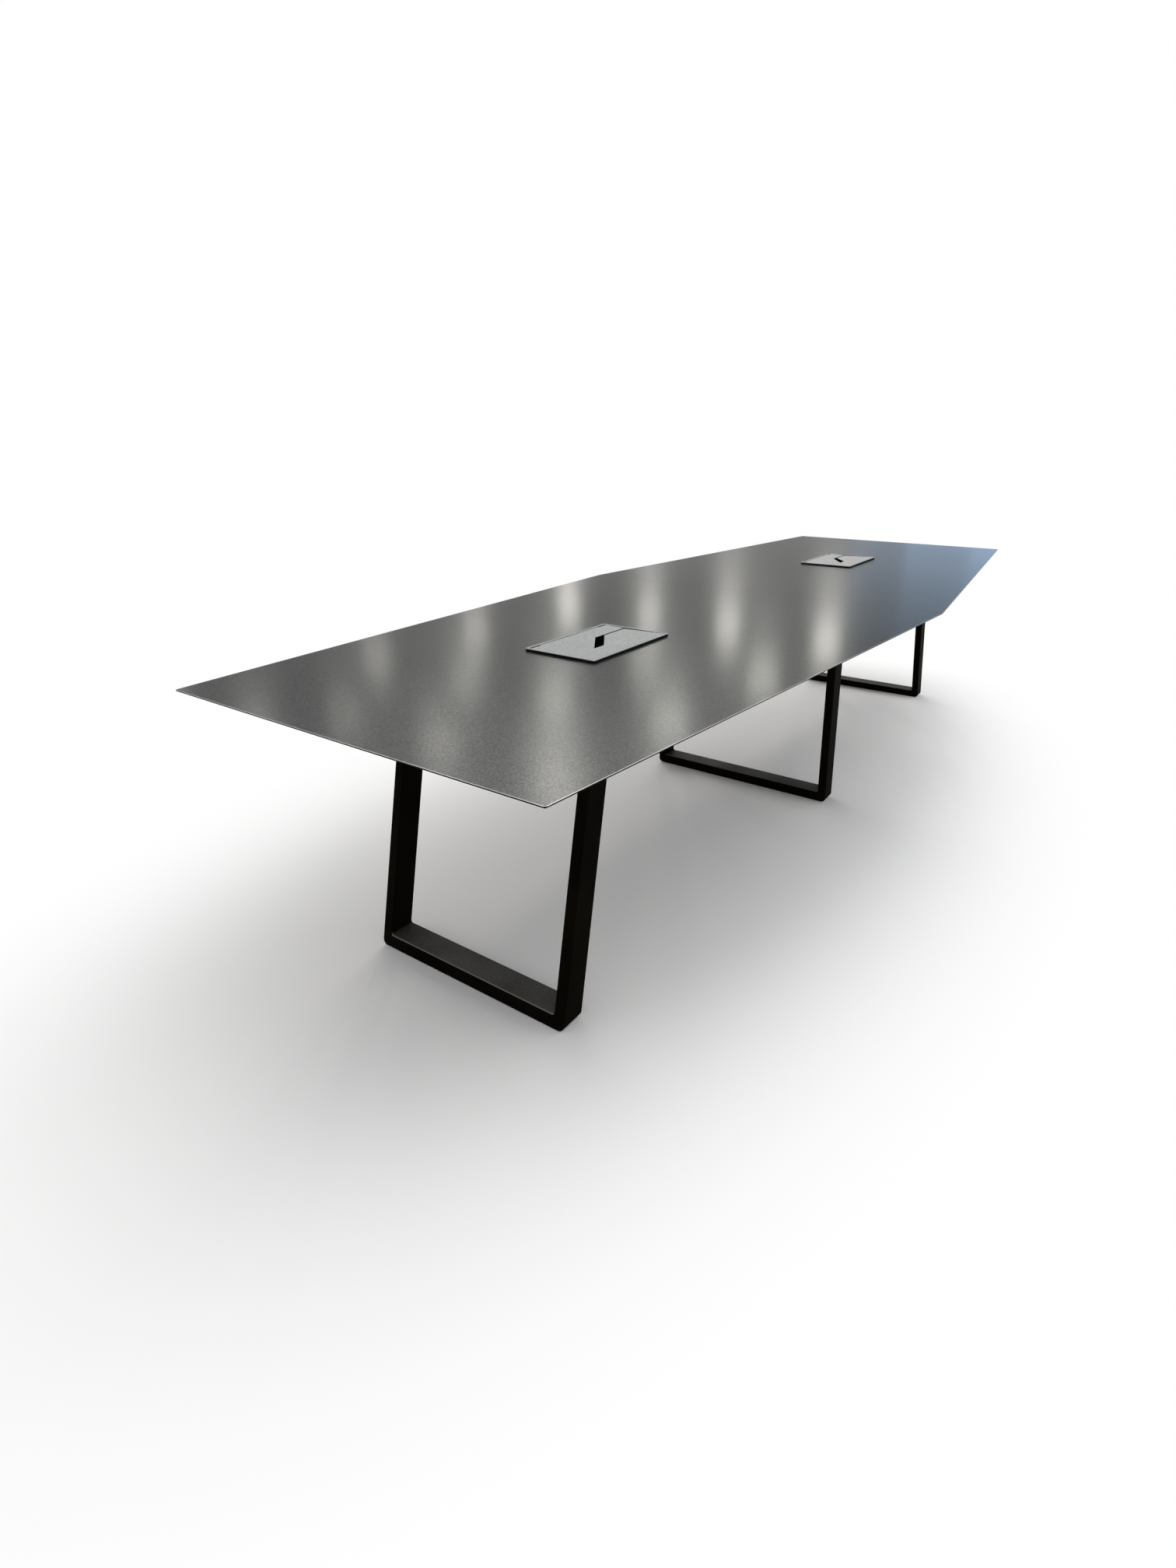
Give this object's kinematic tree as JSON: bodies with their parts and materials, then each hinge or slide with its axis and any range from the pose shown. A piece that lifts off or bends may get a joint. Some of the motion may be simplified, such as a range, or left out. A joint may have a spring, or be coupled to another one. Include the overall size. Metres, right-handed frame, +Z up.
{
  "type": "conference table",
  "caption": "Boat-shaped conference table with a knife-edge top in two halves, black loop legs, splayed at the ends, and flush power boxes with split hinged doors.",
  "frame": {"origin": "on the floor under the middle of the table", "axes": "+X along the length of the table, +Y across it, +Z up"},
  "size_m": [3.658, 1.372, 0.756],
  "materials": {
    "laminate": "satin dark grey metallic laminate on a board core",
    "powder_black": "satin black powder coat",
    "satin_aluminium": "satin anodised",
    "black_plastic": "matt black moulding",
    "glide_nylon": "smooth black nylon",
    "zinc_steel": "zinc plated",
    "beech": "plain planed"
  },
  "bodies": {
    "table": {"top_left": "laminate", "top_right": "laminate", "seam_spline": "beech", "seam_bolt_front": "zinc_steel", "seam_bolt_rear": "zinc_steel", "leg_left": "powder_black", "glide_left_front": "glide_nylon", "glide_left_rear": "glide_nylon", "screw_left_1": "zinc_steel", "screw_left_2": "zinc_steel", "screw_left_3": "zinc_steel", "screw_left_4": "zinc_steel", "leg_mid": "powder_black", "glide_mid_front": "glide_nylon", "glide_mid_rear": "glide_nylon", "screw_mid_1": "zinc_steel", "screw_mid_2": "zinc_steel", "screw_mid_3": "zinc_steel", "screw_mid_4": "zinc_steel", "leg_right": "powder_black", "glide_right_front": "glide_nylon", "glide_right_rear": "glide_nylon", "screw_right_1": "zinc_steel", "screw_right_2": "zinc_steel", "screw_right_3": "zinc_steel", "screw_right_4": "zinc_steel", "rail_left_front": "powder_black", "rail_left_rear": "powder_black", "rail_right_front": "powder_black", "rail_right_rear": "powder_black", "box_left_housing": "black_plastic", "box_left_power": "black_plastic", "box_left_data": "black_plastic", "box_left_trim": "satin_aluminium", "box_left_rod_rear": "zinc_steel", "box_left_rod_front": "zinc_steel", "box_left_clamp_rear": "zinc_steel", "box_left_clamp_front": "zinc_steel", "box_right_housing": "black_plastic", "box_right_power": "black_plastic", "box_right_data": "black_plastic", "box_right_trim": "satin_aluminium", "box_right_rod_rear": "zinc_steel", "box_right_rod_front": "zinc_steel", "box_right_clamp_rear": "zinc_steel", "box_right_clamp_front": "zinc_steel"},
    "box_left_door_rear": {"box_left_door_rear": "satin_aluminium"},
    "box_left_door_front": {"box_left_door_front": "satin_aluminium"},
    "box_right_door_rear": {"box_right_door_rear": "satin_aluminium"},
    "box_right_door_front": {"box_right_door_front": "satin_aluminium"}
  },
  "joints": [
    {"name": "box_left_door_rear_hinge", "type": "hinge", "parent": "table", "child": "box_left_door_rear", "pos_m": [-0.949, 0.1022, 0.7526], "axis": [-1, 0, 0], "range_deg": [0, 100]},
    {"name": "box_left_door_front_hinge", "type": "hinge", "parent": "table", "child": "box_left_door_front", "pos_m": [-0.949, -0.1022, 0.7526], "axis": [1, 0, 0], "range_deg": [0, 100]},
    {"name": "box_right_door_rear_hinge", "type": "hinge", "parent": "table", "child": "box_right_door_rear", "pos_m": [0.949, 0.1022, 0.7526], "axis": [-1, 0, 0], "range_deg": [0, 100]},
    {"name": "box_right_door_front_hinge", "type": "hinge", "parent": "table", "child": "box_right_door_front", "pos_m": [0.949, -0.1022, 0.7526], "axis": [1, 0, 0], "range_deg": [0, 100]}
  ]
}
